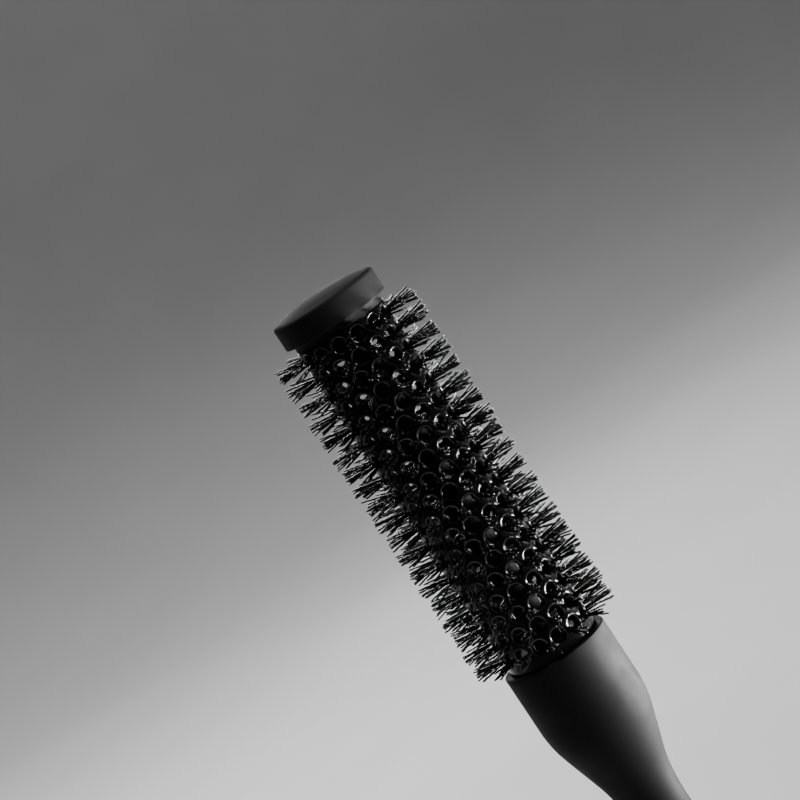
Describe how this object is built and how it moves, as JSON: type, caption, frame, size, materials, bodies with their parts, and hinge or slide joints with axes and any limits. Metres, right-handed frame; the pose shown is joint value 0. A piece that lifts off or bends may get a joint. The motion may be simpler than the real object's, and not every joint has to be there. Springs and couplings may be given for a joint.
{
  "type": "round barrel brush",
  "caption": "Vented round thermal hair brush: gloss perforated barrel with crimped nylon tufts, domed end cap and tapered soft-touch handle, standing on its butt.",
  "frame": {"origin": "centre of the handle's flat butt", "axes": "+Z along the brush's axis, from the handle to the end cap; +X through a column of vents"},
  "size_m": [0.046, 0.046, 0.248],
  "materials": {
    "barrel_coat": "gloss black ceramic coat",
    "bristle_nylon": "crimped black nylon, semi gloss",
    "strip_plastic": "moulded black",
    "hard_plastic": "satin black moulding",
    "soft_touch_cap": "soft-touch matte black",
    "soft_touch_handle": "soft-touch matte black",
    "steel": "zinc plated",
    "brass": "turned",
    "silicone": "matte grey silicone"
  },
  "bodies": {
    "root": {"barrel": "barrel_coat", "barrel_pins": "steel", "bristle_row_01": "bristle_nylon", "bristle_row_02": "bristle_nylon", "bristle_row_03": "bristle_nylon", "bristle_row_04": "bristle_nylon", "bristle_row_05": "bristle_nylon", "bristle_row_06": "bristle_nylon", "bristle_row_07": "bristle_nylon", "bristle_row_08": "bristle_nylon", "bristle_row_09": "bristle_nylon", "bristle_row_10": "bristle_nylon", "bristle_row_11": "bristle_nylon", "bristle_row_12": "bristle_nylon", "bristle_row_13": "bristle_nylon", "bristle_row_14": "bristle_nylon", "bristle_strip_01": "strip_plastic", "bristle_strip_02": "strip_plastic", "bristle_strip_03": "strip_plastic", "bristle_strip_04": "strip_plastic", "bristle_strip_05": "strip_plastic", "bristle_strip_06": "strip_plastic", "bristle_strip_07": "strip_plastic", "bristle_strip_08": "strip_plastic", "bristle_strip_09": "strip_plastic", "bristle_strip_10": "strip_plastic", "bristle_strip_11": "strip_plastic", "bristle_strip_12": "strip_plastic", "bristle_strip_13": "strip_plastic", "bristle_strip_14": "strip_plastic", "butt_plug": "hard_plastic", "end_cap": "soft_touch_cap", "front_lock_ring": "hard_plastic", "front_plug": "hard_plastic", "handle_core": "hard_plastic", "handle_sleeve": "soft_touch_handle", "insulating_ring": "silicone", "rear_lock_ring": "hard_plastic", "spreader_core": "hard_plastic", "thread_insert": "brass", "tie_nut": "steel", "tie_rod": "steel", "tie_washer": "steel"}
  },
  "joints": []
}
